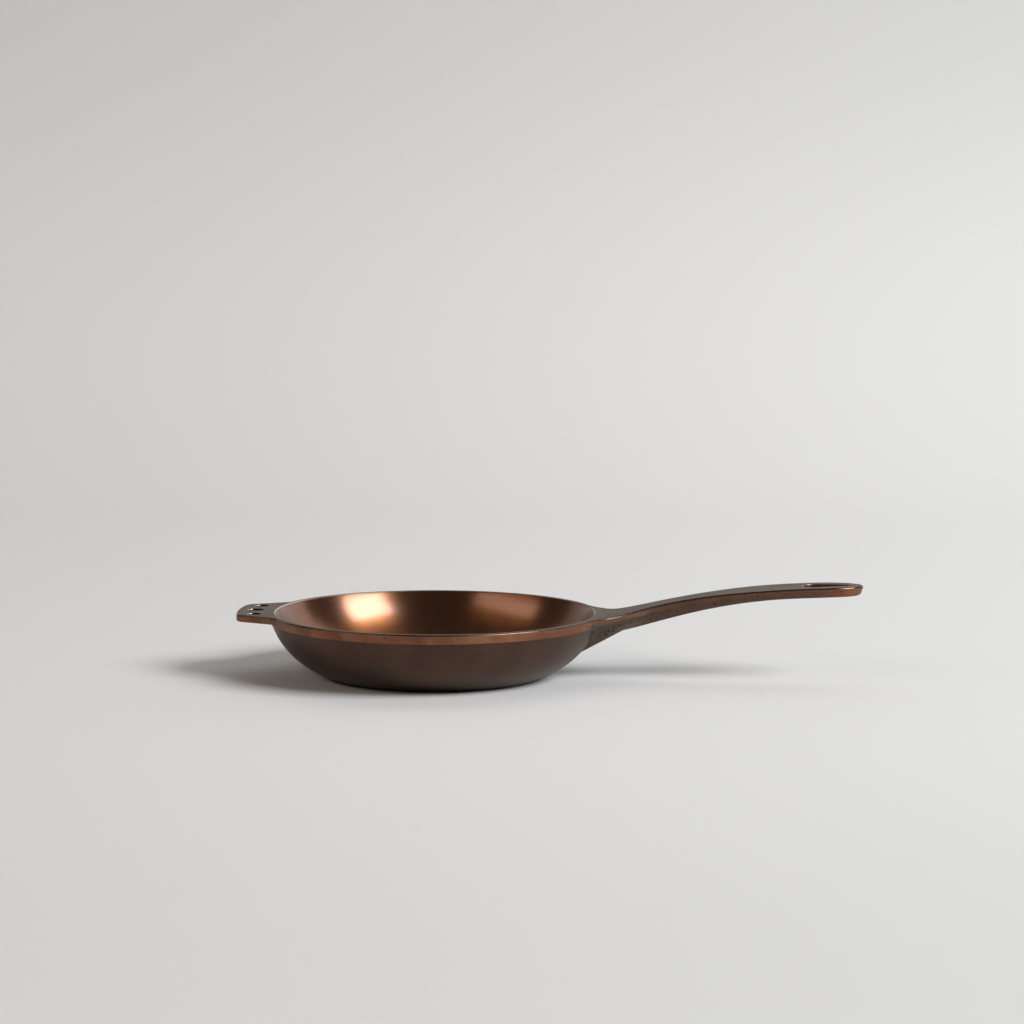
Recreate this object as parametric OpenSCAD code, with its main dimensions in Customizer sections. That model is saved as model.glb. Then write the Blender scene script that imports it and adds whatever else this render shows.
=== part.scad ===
// Cast skillet with a helper tab and a long arched handle, in millimetres.
// The pan, the tab and the handle are one casting, divided here into its named regions.
// Origin at the centre of the resting face, +Z up, +X toward the handle's tip.

/* [Pan] */
// Outside diameter over the rim
pan_d = 264; // [230:1:310]
// Height from the resting face to the top of the rim
pan_h = 51.5; // [46:0.5:64]
// Diameter of the flat resting face
base_d = 168; // [150:1:180]
// Thickness of the cooking floor
floor_t = 4.8; // [3.5:0.1:7]
// Thickness of the side wall
wall_t = 3.8; // [3:0.1:5.5]
// Lean of the wall from upright, just under the rim, in degrees
wall_lean = 18.5; // [12:0.5:24]
// Stretch of wall that is shaped by that lean
wall_reach = 32; // [26:1:38]
// Lift of the wall from level where it leaves the resting face, in degrees
foot_lift = 18; // [10:1:26]
// Stretch of wall that is shaped by that lift
foot_reach = 10; // [6:0.5:14]
// Width of the rounded corner between the cooking floor and the wall
cove_w = 12; // [6:0.5:20]
// Height at which the rounded corner ends and the side wall starts
corner_h = 15; // [10:0.5:22]

/* [Rim] */
// Width of the flat ring on top of the rim
rim_w = 4.3; // [3.5:0.1:7]
// Height of the smooth band round the outside of the rim
rim_h = 7.4; // [6.2:0.1:12]
// Step from the band in to the cast wall
rim_step = 1.1; // [0.5:0.1:2]

/* [Helper tab] */
// Reach of the tab beyond the rim
tab_reach = 26.5; // [23:0.5:36]
// Width at the tab's outer edge, before its corners are rounded
tab_tip_w = 60; // [54:1:66]
// Width where the tab leaves the rim
tab_root_w = 88; // [78:1:100]
// Thickness of the tab
tab_t = 5.6; // [4:0.1:6]
// Radius of the tab's outer corners
tab_corner_r = 11; // [6:0.5:14]
// Radius of the blends from the tab's sides to the rim
tab_blend_r = 8; // [4:0.5:14]
// Diameter of the middle hole
tab_mid_hole_d = 12.7; // [8:0.1:14]
// Diameter of the two side holes
tab_side_hole_d = 10.5; // [7:0.1:12]
// Distance between neighbouring holes, from centre to centre
tab_hole_pitch = 24.4; // [18:0.1:26]
// Distance of the holes' centres beyond the rim
tab_hole_reach = 12.2; // [10:0.1:14]

/* [Handle] */
// Length from the rim to the tip
handle_len = 209; // [180:1:250]
// Rise of the top face from the rim to the tip
handle_rise = 24.6; // [10:0.2:45]
// Stretch of level top face beside the rim
arch_start = 6; // [2:0.5:12]
// Stretch in which the top face turns from level to its slope
arch_turn = 20; // [10:1:30]
// Stretch over which the arch levels out toward the tip
arch_ease = 137; // [90:1:160]
// Width across the flare where it leaves the rim
flare_w = 100; // [84:1:132]
// Stretch of the flare that still follows the rim
flare_reach = 32; // [24:1:40]
// Width of the handle at its waist
waist_w = 27; // [22:0.5:32]
// Distance of the waist from the rim
waist_at = 66; // [50:1:74]
// Stretch of the flare that already follows the waist
waist_reach = 32; // [20:1:38]
// Width of the handle's far end
end_w = 38.6; // [32:0.2:46]
// Distance from the tip at which the far end's width is reached
full_at = 69; // [50:1:90]
// Length of the half ellipse that closes the far end
tip_len = 36; // [24:1:44]
// Depth of the handle over the toe of the gusset
root_t = 14.3; // [13:0.1:18]
// Depth of the handle at the far end
tip_t = 8.2; // [7.4:0.1:11]
// Distance from the tip at which that depth is reached
thin_at = 64; // [30:1:80]
// Radius of the upper edges
edge_r = 1.4; // [0.8:0.1:2.4]
// Radius of the lower edges
keel_r = 4.5; // [2:0.1:4.9]
// Inward draft of the sides, from top to bottom
draft = 0.8; // [0.2:0.1:2]
// Depth of the plain edge round the flare
flare_edge_h = 5; // [3:0.1:7]

/* [Root gusset] */
// Distance of the gusset's toe from the rim
gusset_reach = 18.5; // [14:0.5:28]
// Slope of the gusset's lower edge, in degrees
gusset_slope = 28.5; // [22:0.5:32]

/* [Hanging hole] */
// Length of the teardrop hole
hole_len = 38; // [28:0.5:46]
// Width of its round end
hole_w = 19.4; // [14:0.2:22]
// Radius of its narrow end
hole_end_r = 4; // [2:0.1:6]
// Metal left between the hole and the tip
hole_margin = 9.6; // [8:0.1:14]

/* [Hidden] */

$fn = 96;
// How far a cutting shape runs past the face it cuts
overrun = 2;
// How far a blend starts inside the rim, so that it leaves it at a small angle
sink = 0.4;
// Segments of a wall curve, of a blend and of an edge's quarter round
wall_steps = 20;
blend_steps = 8;
edge_steps = 3;
// Stations along the neck, the grip and the half ellipse of the far end
neck_steps = 12;
grip_steps = 14;
tip_steps = 10;
// Halvings that find a point of a curve by its place along X
halvings = 24;

// Share of the depth under the flare's plain edge in which the flare draws in to the waist
draw_in_share = 0.6;
// Places down that stretch where the section has a point
draw_in_shares = [0.25, 0.5, 0.75, 1];
// Share of a quarter turn at which the far end's last station stands
last_station_share = 0.96;
// Share of the outer wall's curve at which the neck's first station stands, inside the pan
root_share = 0.75;

cast_colour = [0.24, 0.17, 0.13];
bronze_colour = [0.46, 0.27, 0.15];
rim_colour = [0.42, 0.26, 0.19];
handle_colour = [0.33, 0.22, 0.17];

pan_r = pan_d / 2;
base_r = base_d / 2;
floor_r = base_r - cove_w;
band_z = pan_h - rim_h;

tab_r = pan_r + tab_reach;
tab_hole_r = pan_r + tab_hole_reach;
tab_taper = atan((tab_root_w - tab_tip_w) / 2 / tab_reach);

tip_x = pan_r + handle_len;
waist_x = pan_r + waist_at;
toe_x = pan_r + gusset_reach;
full_x = tip_x - full_at;
ellipse_x = tip_x - tip_len;
thin_x = tip_x - thin_at;
// The neck ends half way from the gusset's toe to the waist, and the eye starts clear of its hole
grip_x = (toe_x + waist_x) / 2;
eye_x = tip_x - hole_margin - hole_len - hole_margin;

// Curves

function bezier(p, s) =
    pow(1 - s, 3) * p[0] + 3 * pow(1 - s, 2) * s * p[1] + 3 * (1 - s) * pow(s, 2) * p[2] + pow(s, 3) * p[3];

function bezier_points(p, steps) = [for (i = [0:steps]) bezier(p, i / steps)];

function share_at_x(p, x, low = 0, high = 1, n = halvings) =
    let (mid = (low + high) / 2)
    n == 0 ? mid
    : bezier(p, mid)[0] < x ? share_at_x(p, x, mid, high, n - 1)
    : share_at_x(p, x, low, mid, n - 1);

function height_at_x(p, x) = bezier(p, share_at_x(p, x))[1];

function arc_points(centre, r, from, to, steps) =
    [for (i = [0:steps]) let (a = from + (to - from) * i / steps) centre + r * [cos(a), sin(a)]];

function clamp(v) = min(1, max(0, v));

function smooth(v) = let (u = clamp(v)) u * u * (3 - 2 * u);

function reversed(list) = [for (i = [len(list) - 1:-1:0]) list[i]];

// Pan: its outer and inner wall, as radius and height

outer_wall =
    let (top = [pan_r - rim_step, band_z], foot = [base_r, 0])
    [top, top - wall_reach * [sin(wall_lean), cos(wall_lean)],
     foot + foot_reach * [cos(foot_lift), sin(foot_lift)], foot];

inner_wall =
    let (top = [pan_r - rim_w, pan_h], foot = [floor_r, floor_t])
    [top, outer_wall[1] + wall_t * [-cos(wall_lean), sin(wall_lean)],
     [outer_wall[2][0], floor_t], foot];

root_x = bezier(outer_wall, root_share)[0];

module outer_section() {
    polygon(concat([[0, 0]], reversed(bezier_points(outer_wall, wall_steps)), [[0, band_z]]));
}

module cavity_section() {
    polygon(concat([[0, floor_t]], reversed(bezier_points(inner_wall, wall_steps)),
                   [[pan_r - rim_w, pan_h + overrun], [0, pan_h + overrun]]));
}

// The pan filled solid, which cuts whatever is joined to its outside
module pan_envelope() {
    rotate_extrude() outer_section();
    translate([0, 0, band_z]) cylinder(r = pan_r, h = rim_h + overrun);
}

module cooking_floor() {
    color(bronze_colour) cylinder(r = floor_r, h = floor_t);
}

module floor_corner() {
    color(cast_colour) rotate_extrude() difference() {
        intersection() {
            outer_section();
            translate([floor_r, 0]) square([pan_r, corner_h]);
        }
        cavity_section();
    }
}

module side_wall() {
    color(cast_colour) rotate_extrude() difference() {
        intersection() {
            outer_section();
            translate([floor_r, corner_h]) square([pan_r, pan_h]);
        }
        cavity_section();
    }
}

module rim_band() {
    color(rim_colour) rotate_extrude() difference() {
        translate([0, band_z]) square([pan_r, rim_h]);
        cavity_section();
    }
}

// Helper tab: half of its outline, from the rim to the middle of its outer edge.
// A rounding touches the straight side on one hand and a circle round the pan on the other.

function side_normal() = [-sin(tab_taper), cos(tab_taper)];

function side_distance() = side_normal() * [-tab_r, tab_tip_w / 2];

function rounding_centre(off_side, from_axis) =
    let (n = side_normal(), outward = [-n[1], n[0]], e = side_distance() + off_side)
    n * e + outward * sqrt(from_axis * from_axis - e * e);

function tab_half_outline() =
    let (blend = rounding_centre(tab_blend_r, pan_r - sink + tab_blend_r),
         corner = rounding_centre(-tab_corner_r, tab_r - tab_corner_r),
         side_angle = atan2(side_normal()[1], side_normal()[0]),
         blend_angle = atan2(blend[1], blend[0]),
         corner_angle = atan2(corner[1], corner[0]))
    concat(
        [(pan_r - overrun) * [cos(blend_angle), sin(blend_angle)]],
        arc_points(blend, tab_blend_r, blend_angle + 180, side_angle + 180, blend_steps),
        arc_points(corner, tab_corner_r, side_angle, corner_angle, blend_steps),
        arc_points([0, 0], tab_r, corner_angle, 180, blend_steps));

module helper_tab() {
    half = tab_half_outline();
    mirrored = [for (p = reversed(half)) [p[0], -p[1]]];
    pitch_angle = 2 * asin(tab_hole_pitch / 2 / tab_hole_r);
    color(handle_colour) translate([0, 0, pan_h - tab_t]) difference() {
        linear_extrude(tab_t) polygon(concat(half, mirrored));
        translate([0, 0, -overrun]) cylinder(r = pan_r, h = tab_t + 2 * overrun);
        for (turn = [-1:1])
            rotate(180 + turn * pitch_angle)
                translate([tab_hole_r, 0, -overrun])
                    cylinder(d = turn == 0 ? tab_mid_hole_d : tab_side_hole_d, h = tab_t + 2 * overrun);
    }
}

// Handle: heights along X, with the rim's top as zero, and half widths along X

arch = [[pan_r + arch_start, 0], [pan_r + arch_start + arch_turn, 0],
        [tip_x - arch_ease, handle_rise], [tip_x, handle_rise]];

flare =
    let (angle = asin(flare_w / 2 / pan_r), start = (pan_r - sink) * [cos(angle), sin(angle)])
    [start, start + flare_reach * [sin(angle), -cos(angle)],
     [waist_x - waist_reach, waist_w / 2], [waist_x, waist_w / 2]];

function top_z(x) = x <= arch[0][0] ? 0 : height_at_x(arch, x);

function half_w(x) =
    x <= flare[0][0] ? flare[0][1]
    : x < waist_x ? height_at_x(flare, x)
    : (waist_w + (end_w - waist_w) * smooth((x - waist_x) / (full_x - waist_x))) / 2;

function grip_depth(x) = root_t + (tip_t - root_t) * smooth((x - toe_x) / (thin_x - toe_x));

// Depth of the section, down to the gusset's lower edge on the pan's side of its toe
function depth(x) =
    x >= toe_x ? grip_depth(x)
    : top_z(x) - top_z(toe_x) + root_t + (toe_x - x) * tan(gusset_slope);

// One side of the section at x, from the top face down to the bottom face, as inset and depth.
// Where the handle is thin, its plain edge ends half way between the two roundings.
function side_profile(x) =
    let (t = depth(x),
         draw_in = x < waist_x ? half_w(x) - waist_w / 2 : 0,
         edge_h = min(flare_edge_h, (edge_r + t - keel_r) / 2),
         draw_h = draw_in_share * (t - keel_r - edge_h))
    concat(
        [for (i = [0:edge_steps]) let (a = 90 * i / edge_steps) edge_r * [1 - sin(a), 1 - cos(a)]],
        [[0, edge_h]],
        [for (u = draw_in_shares) [draw_in * (1 - pow(1 - u, 2)) + draft * u, edge_h + draw_h * u]],
        [for (i = [0:edge_steps]) let (a = 90 * i / edge_steps)
            [draw_in + draft + keel_r * (1 - cos(a)), t - keel_r + keel_r * sin(a)]]);

// A closed ring of points: down the near side, then up the far side
function ring(near) = concat(near, reversed([for (p = near) [p[0], -p[1], p[2]]]));

function station(x) =
    ring([for (s = side_profile(x)) [x, s[0] - half_w(x), pan_h + top_z(x) - s[1]]]);

// Stations of the half ellipse, each at an angle from the widest place to the tip
function tip_station(angle) =
    let (x = ellipse_x + tip_len * sin(angle))
    ring([for (s = side_profile(x))
        [ellipse_x + (tip_len - s[0]) * sin(angle),
         (s[0] - end_w / 2) * cos(angle),
         pan_h + top_z(x) - s[1]]]);

function between(from, to, steps) = [for (i = [0:steps]) from + (to - from) * i / steps];

// Skins a row of rings; a ladder of flat faces from side to side closes each end
module skin(rings) {
    n = len(rings[0]);
    last = len(rings) - 1;
    walls = [for (r = [0:last - 1], k = [0:n - 1])
        let (a = r * n + k, b = r * n + (k + 1) % n)
        each [[a, a + n, b + n], [a, b + n, b]]];
    start = [for (k = [0:n / 2 - 2]) [k, k + 1, n - 2 - k, n - 1 - k]];
    end = [for (f = start) last * n * [1, 1, 1, 1] + reversed(f)];
    polyhedron([for (r = rings) each r], concat(walls, start, end), convexity = 6);
}

// Neck and gusset together, still running into the pan
module handle_root() {
    skin([for (x = between(root_x, grip_x, neck_steps)) station(x)]);
}

// The space above or below the level of the gusset's toe, where the neck meets the gusset
module toe_level_space(above) {
    toe_z = pan_h + top_z(toe_x) - root_t;
    translate([0, -pan_r, above ? toe_z : toe_z - pan_h]) cube([tip_x, pan_d, pan_h]);
}

module handle_neck() {
    color(handle_colour) difference() {
        intersection() {
            handle_root();
            toe_level_space(above = true);
        }
        pan_envelope();
    }
}

module root_gusset() {
    color(cast_colour) difference() {
        intersection() {
            handle_root();
            toe_level_space(above = false);
        }
        pan_envelope();
    }
}

module handle_grip() {
    color(handle_colour) skin([for (x = between(grip_x, eye_x, grip_steps)) station(x)]);
}

// Teardrop: a large and a small circle and the flat sides that touch both
module teardrop() {
    large_r = hole_w / 2;
    small_x = hole_len - large_r - hole_end_r;
    touch = acos((large_r - hole_end_r) / small_x);
    circle(r = large_r);
    translate([small_x, 0]) circle(r = hole_end_r);
    upper = [large_r * [cos(touch), sin(touch)], [small_x, 0] + hole_end_r * [cos(touch), sin(touch)]];
    polygon(concat(upper, [for (p = reversed(upper)) [p[0], -p[1]]]));
}

module hanging_eye() {
    rings = concat(
        [for (x = [eye_x, (eye_x + ellipse_x) / 2]) station(x)],
        [for (angle = between(0, 90 * last_station_share, tip_steps)) tip_station(angle)]);
    color(handle_colour) difference() {
        skin(rings);
        translate([tip_x - hole_margin - hole_len + hole_w / 2, 0, pan_h])
            linear_extrude(handle_rise + root_t) teardrop();
    }
}

cooking_floor();
floor_corner();
side_wall();
rim_band();
helper_tab();
handle_neck();
root_gusset();
handle_grip();
hanging_eye();
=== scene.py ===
import math

import bmesh
import bpy
import numpy as np
from mathutils import Matrix, Vector
from mathutils.geometry import tessellate_polygon


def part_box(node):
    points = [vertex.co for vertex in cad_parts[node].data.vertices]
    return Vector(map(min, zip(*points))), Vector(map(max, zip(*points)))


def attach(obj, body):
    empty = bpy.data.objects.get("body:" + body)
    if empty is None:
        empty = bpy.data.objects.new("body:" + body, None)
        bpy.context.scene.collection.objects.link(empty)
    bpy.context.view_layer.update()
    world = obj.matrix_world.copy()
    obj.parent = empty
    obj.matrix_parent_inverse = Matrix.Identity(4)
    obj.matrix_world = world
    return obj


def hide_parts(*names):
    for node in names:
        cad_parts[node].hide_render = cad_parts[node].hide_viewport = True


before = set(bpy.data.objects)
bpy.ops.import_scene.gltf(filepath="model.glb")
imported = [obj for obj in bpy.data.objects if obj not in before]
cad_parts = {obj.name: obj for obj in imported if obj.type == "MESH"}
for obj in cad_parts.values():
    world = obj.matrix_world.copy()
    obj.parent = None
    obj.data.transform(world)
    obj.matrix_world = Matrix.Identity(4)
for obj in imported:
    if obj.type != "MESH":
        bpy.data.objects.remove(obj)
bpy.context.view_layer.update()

MM = 0.001

# Sizes that the boxes of the frame's nodes give

rim_low, rim_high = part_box("rim_band")
_, floor_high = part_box("cooking_floor")
_, corner_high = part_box("floor_corner")
_, wall_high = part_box("side_wall")
tab_low, tab_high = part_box("helper_tab")
grip_low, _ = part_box("handle_grip")
eye_low, eye_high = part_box("hanging_eye")

PAN_R = rim_high.y
PAN_TOP = rim_high.z
BAND_LOW = rim_low.z
WALL_TOP_R = wall_high.x
CORNER_TOP = corner_high.z
FLOOR_R = floor_high.x
FLOOR_TOP = floor_high.z
TAB_R = -tab_low.x
TAB_LOW = tab_low.z
TAB_TOP = tab_high.z
GRIP_X = grip_low.x
EYE_X = eye_low.x
END_HALF_W = eye_high.y
HANDLE_TOP = eye_high.z

# Sizes of the casting that the boxes don't give

BASE_R = 84 * MM
RIM_W = 4.3 * MM
WALL_T = 3.8 * MM
WALL_LEAN = math.radians(18.5)
WALL_REACH = 32 * MM
FOOT_LIFT = math.radians(18)
FOOT_REACH = 10 * MM

TAB_TIP_W = 60 * MM
TAB_ROOT_W = 88 * MM
TAB_CORNER_R = 11 * MM
TAB_BLEND_R = 8 * MM
TAB_HOLE_R = PAN_R + 12.2 * MM
TAB_HOLE_PITCH = 24.4 * MM
TAB_MID_HOLE_R = 6.35 * MM
TAB_SIDE_HOLE_R = 5.25 * MM

TIP_X = eye_high.x
TIP_LEN = 36 * MM
ARCH_START = PAN_R + 6 * MM
ARCH_TURN = 20 * MM
ARCH_EASE = 137 * MM
FLARE_W = 100 * MM
FLARE_REACH = 32 * MM
WAIST_X = PAN_R + 66 * MM
WAIST_REACH = 32 * MM
WAIST_W = 27 * MM
FULL_X = TIP_X - 69 * MM
THIN_X = TIP_X - 64 * MM
TOE_X = PAN_R + 18.5 * MM
ROOT_T = 14.3 * MM
TIP_T = 8.2 * MM
GUSSET_SLOPE = math.radians(28.5)
DRAFT = 0.8 * MM
FLARE_EDGE_H = 5 * MM
DRAW_IN_SHARE = 0.6
ELLIPSE_X = TIP_X - TIP_LEN

HOLE_LEN = 38 * MM
HOLE_R = 9.7 * MM
HOLE_END_R = 4 * MM
HOLE_MARGIN = 9.6 * MM
HOLE_X = TIP_X - HOLE_MARGIN - HOLE_LEN + HOLE_R

# Roundings of the casting's edges

EDGE_R = 1.4 * MM
INNER_EDGE_R = 0.7 * MM
BAND_EDGE_R = 0.4 * MM
TAB_LOWER_R = 1.2 * MM
KEEL_R = 4.5 * MM
HOLE_EDGE_R = 0.8 * MM
ROOT_FILLET = 3.5 * MM
FOOT_FILLET = 1.2 * MM
KINK_R = 3 * MM
# How far the root's fillet starts under the bowl's skin
SINK = 0.05 * MM
# Share of the flare's overhang that the root's fillet may take, and of its radius that its curve is pulled
OVERHANG_SHARE = 0.8
PULL_SHARE = 0.55
# Sine of the angle between side and bowl from which the fillet has its whole radius
WHOLE_FILLET_SINE = 0.5

# Counts and tolerances of the meshes

RING_STEP = math.radians(1)
CURVE_STEPS = 28
BAND_STEPS = 8
FLOOR_STEPS = 18
RESTING_STEPS = 4
EDGE_STEPS = 7
BAND_EDGE_STEPS = 4
HOLE_EDGE_STEPS = 4
TAB_ARC_STEPS = 16
ACROSS_STEPS = 24
FILLET_STEPS = 7
TOE_STEPS = 26
NECK_STEPS = 8
GRIP_STEPS = 48
EYE_STEPS = 9
TIP_STEPS = 30
HOLE_STEPS = 64
SPREAD_STEPS = 5
SWEEP_STEPS = 24
HALVINGS = 50
# Points sampled on the bowl's outside, and on every other curve
WALL_SAMPLES = 801
CURVE_SAMPLES = 2001
CREASE = math.radians(32)
CENTRE_R = 1 * MM
WELD = 1e-6
# Keeps a divisor from being zero
TINY = 1e-12
# Steps over which a slope is measured, on the bowl and on the handle
BOWL_NUDGE = 0.2 * MM
NUDGE = 0.05 * MM


# Curves

def bezier(p, s):
    """Points of the cubic Bezier curve with the control points p, at the shares s."""
    p = np.asarray(p, float)
    s = np.asarray(s, float)[..., None]
    return (1 - s) ** 3 * p[0] + 3 * (1 - s) ** 2 * s * p[1] + 3 * (1 - s) * s ** 2 * p[2] + s ** 3 * p[3]


def smooth(v):
    u = np.clip(v, 0, 1)
    return u * u * (3 - 2 * u)


def unit(v):
    return v / np.linalg.norm(v, axis=-1, keepdims=True)


def arc(centre, r, start, end, steps):
    a = np.linspace(start, end, steps + 1)
    return np.asarray(centre) + r * np.stack([np.cos(a), np.sin(a)], axis=1)


def quarter(steps):
    return np.linspace(0, math.pi / 2, steps + 1)


OUTER_TOP = np.array([WALL_TOP_R, BAND_LOW])
OUTER_FOOT = np.array([BASE_R, 0])
OUTER_WALL = [OUTER_TOP, OUTER_TOP - WALL_REACH * np.array([math.sin(WALL_LEAN), math.cos(WALL_LEAN)]),
              OUTER_FOOT + FOOT_REACH * np.array([math.cos(FOOT_LIFT), math.sin(FOOT_LIFT)]), OUTER_FOOT]
INNER_WALL = [np.array([PAN_R - RIM_W, PAN_TOP]),
              OUTER_WALL[1] + WALL_T * np.array([-math.cos(WALL_LEAN), math.sin(WALL_LEAN)]),
              np.array([OUTER_WALL[2][0], FLOOR_TOP]), np.array([FLOOR_R, FLOOR_TOP])]


def wall_between(curve, low, high, steps=CURVE_STEPS):
    """Points of a wall curve from the height low up to the height high, as radius and height."""
    shares = np.linspace(1, 0, CURVE_SAMPLES)
    share = np.interp([low, high], bezier(curve, shares)[:, 1], shares)
    return bezier(curve, np.linspace(share[0], share[1], steps + 1))


_outer = bezier(OUTER_WALL, np.linspace(1, 0, WALL_SAMPLES))


def bowl_r(z):
    """Radius of the bowl's outside at the height z, with its step under the band softened."""
    step = (PAN_R - WALL_TOP_R) * smooth((z - BAND_LOW) / BAND_EDGE_R + 0.5)
    return np.interp(z, _outer[:, 1], _outer[:, 0]) + step


def bowl_normal(p):
    z = p[..., 2]
    slope = (bowl_r(z + BOWL_NUDGE) - bowl_r(z - BOWL_NUDGE)) / (2 * BOWL_NUDGE)
    flat = unit(p[..., :2])
    return unit(np.concatenate([flat, -slope[..., None]], axis=-1))


# The handle's shape along X: its top face, half width and depth

ARCH = [(ARCH_START, PAN_TOP), (ARCH_START + ARCH_TURN, PAN_TOP),
        (TIP_X - ARCH_EASE, HANDLE_TOP), (TIP_X, HANDLE_TOP)]
FLARE_ANGLE = math.asin(FLARE_W / 2 / PAN_R)
FLARE_START = PAN_R * np.array([math.cos(FLARE_ANGLE), math.sin(FLARE_ANGLE)])
FLARE = [FLARE_START, FLARE_START + FLARE_REACH * np.array([math.sin(FLARE_ANGLE), -math.cos(FLARE_ANGLE)]),
         (WAIST_X - WAIST_REACH, WAIST_W / 2), (WAIST_X, WAIST_W / 2)]
_arch = bezier(ARCH, np.linspace(0, 1, CURVE_SAMPLES))
_flare = bezier(FLARE, np.linspace(0, 1, CURVE_SAMPLES))


def top_z(x):
    return np.interp(x, _arch[:, 0], _arch[:, 1])


def half_w(x):
    end = WAIST_W / 2 + (END_HALF_W - WAIST_W / 2) * smooth((x - WAIST_X) / (FULL_X - WAIST_X))
    return np.where(x < WAIST_X, np.interp(x, _flare[:, 0], _flare[:, 1]), end)


def neck_depth(x):
    return ROOT_T + (TIP_T - ROOT_T) * smooth((x - TOE_X) / (THIN_X - TOE_X))


def depth(x):
    """Depth of the section, down to the gusset's lower edge on the pan's side of its toe."""
    gusset = top_z(x) - top_z(TOE_X) + ROOT_T + (TOE_X - x) * math.tan(GUSSET_SLOPE)
    return np.where(x < TOE_X, gusset, neck_depth(x))


def web_depth(x):
    """The same depth with its kink at the toe rounded off, which shapes the web under the flare."""
    return neck_depth(x) + math.tan(GUSSET_SLOPE) * KINK_R * np.logaddexp(0, (TOE_X - x) / KINK_R)


# Rows of the handle's side, from the top face's edge down to the middle of the bottom face

WEB_SHARES = [0.01, 0.03, 0.06, 0.1, 0.16, 0.24, 0.34, 0.46, 0.6, 0.78, 1]
SIDE_SHARES = [0.33, 0.67]
ROUND_ANGLES = np.radians(np.linspace(0, 90, EDGE_STEPS + 1))
FLAT_SHARES = [0.33, 0.67, 1]
EDGE_ROWS = [("edge", a) for a in ROUND_ANGLES]
PLAIN_ROWS = [("plain", s) for s in (0.5, 1)]
LOWER_ROWS = ([("web", s) for s in WEB_SHARES] + [("side", s) for s in SIDE_SHARES]
              + [("keel", a) for a in ROUND_ANGLES] + [("flat", s) for s in FLAT_SHARES])
ROWS = EDGE_ROWS + PLAIN_ROWS + LOWER_ROWS


def profile(row, x):
    """Inset from the handle's outline, and depth below its top face, of a row at x."""
    kind, v = row
    t = depth(x)
    draw_in = np.where(x < WAIST_X, half_w(x) - WAIST_W / 2, 0)
    edge_h = np.minimum(FLARE_EDGE_H, (EDGE_R + t - KEEL_R) / 2)
    web_h = DRAW_IN_SHARE * (web_depth(x) - KEEL_R - edge_h)
    foot = draw_in + DRAFT
    if kind == "edge":
        return EDGE_R * (1 - math.sin(v)) + 0 * x, EDGE_R * (1 - math.cos(v)) + 0 * x
    if kind == "plain":
        return 0 * x, EDGE_R + (edge_h - EDGE_R) * v
    if kind == "web":
        return draw_in * (1 - (1 - v) ** 2) + DRAFT * v, edge_h + web_h * v
    if kind == "side":
        return foot, edge_h + web_h + (t - KEEL_R - edge_h - web_h) * v
    if kind == "keel":
        return foot + KEEL_R * (1 - math.cos(v)), t - KEEL_R + KEEL_R * math.sin(v)
    return foot + KEEL_R + (half_w(x) - foot - KEEL_R) * v, t


def row_points(row, x):
    """Points of a row on the +Y side, at the places x."""
    x = np.asarray(x, float)
    inset, below = profile(row, x)
    return np.stack([x, half_w(x) - inset, top_z(x) - below], axis=-1)


def mirrored(points):
    return points * np.array([1, -1, 1])


# Meshes

def put(name, data):
    """Adds an object to the scene."""
    obj = bpy.data.objects.new(name, data)
    bpy.context.scene.collection.objects.link(obj)
    return obj


class Shell:
    """Faces gathered grid by grid, each with the look it takes."""

    def __init__(self):
        self.points = []
        self.faces = []
        self.looks = []
        self.count = 0

    def _add(self, points):
        start = self.count
        self.points.append(np.asarray(points, float).reshape(-1, 3))
        self.count += len(self.points[-1])
        return start

    def grid(self, rows, look=0, closed=False):
        """Quads between rows of points. closed joins the last row to the first."""
        rows = np.asarray(rows, float)
        n, m = rows.shape[:2]
        start = self._add(rows)
        for i in range(n if closed else n - 1):
            a, b = start + i * m, start + (i + 1) % n * m
            for k in range(m - 1):
                self.faces.append((a + k, a + k + 1, b + k + 1, b + k))
                self.looks.append(look)

    def polygon(self, points, look=0):
        start = self._add(points)
        self.faces.append(tuple(range(start, self.count)))
        self.looks.append(look)

    def plate(self, loops, look=0):
        """A flat face between its outline, the first loop, and holes in it."""
        start = self._add(np.concatenate(loops))
        for face in tessellate_polygon([[Vector(p) for p in loop] for loop in loops]):
            self.faces.append(tuple(start + i for i in face))
            self.looks.append(look)

    def build(self, name, looks):
        """Welds the grids into one closed mesh."""
        mesh = bpy.data.meshes.new(name)
        points = np.concatenate(self.points)
        key = np.round(points / WELD).astype(np.int64)
        _, first, where = np.unique(key, axis=0, return_index=True, return_inverse=True)
        where = where.reshape(-1)
        faces, kept = [], []
        for face, look in zip(self.faces, self.looks):
            ring = [where[i] for i in face]
            ring = [v for i, v in enumerate(ring) if v != ring[i - 1]]
            if len(set(ring)) == len(ring) and len(ring) > 2:
                faces.append(ring)
                kept.append(look)
        mesh.from_pydata(points[first].tolist(), [], faces)
        mesh.polygons.foreach_set("material_index", kept)
        for material in looks:
            mesh.materials.append(material)
        tidy(mesh)
        return put(name, mesh)


def tidy(mesh):
    """Welds a mesh, turns its faces outward, and reports open edges."""
    bm = bmesh.new()
    bm.from_mesh(mesh)
    bmesh.ops.remove_doubles(bm, verts=bm.verts, dist=WELD)
    bmesh.ops.dissolve_degenerate(bm, edges=bm.edges, dist=WELD)
    bmesh.ops.delete(bm, geom=[v for v in bm.verts if not v.link_faces], context="VERTS")
    bmesh.ops.recalc_face_normals(bm, faces=bm.faces)
    if bm.calc_volume(signed=True) < 0:
        bmesh.ops.reverse_faces(bm, faces=bm.faces)
    loose = [e for e in bm.edges if len(e.link_faces) != 2]
    if loose:
        at = loose[0].verts[0].co
        print(f"{mesh.name}: {len(loose)} open edges, one at {at[0]:.4f} {at[1]:.4f} {at[2]:.4f}")
    bm.to_mesh(mesh)
    bm.free()
    mesh.update()


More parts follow.
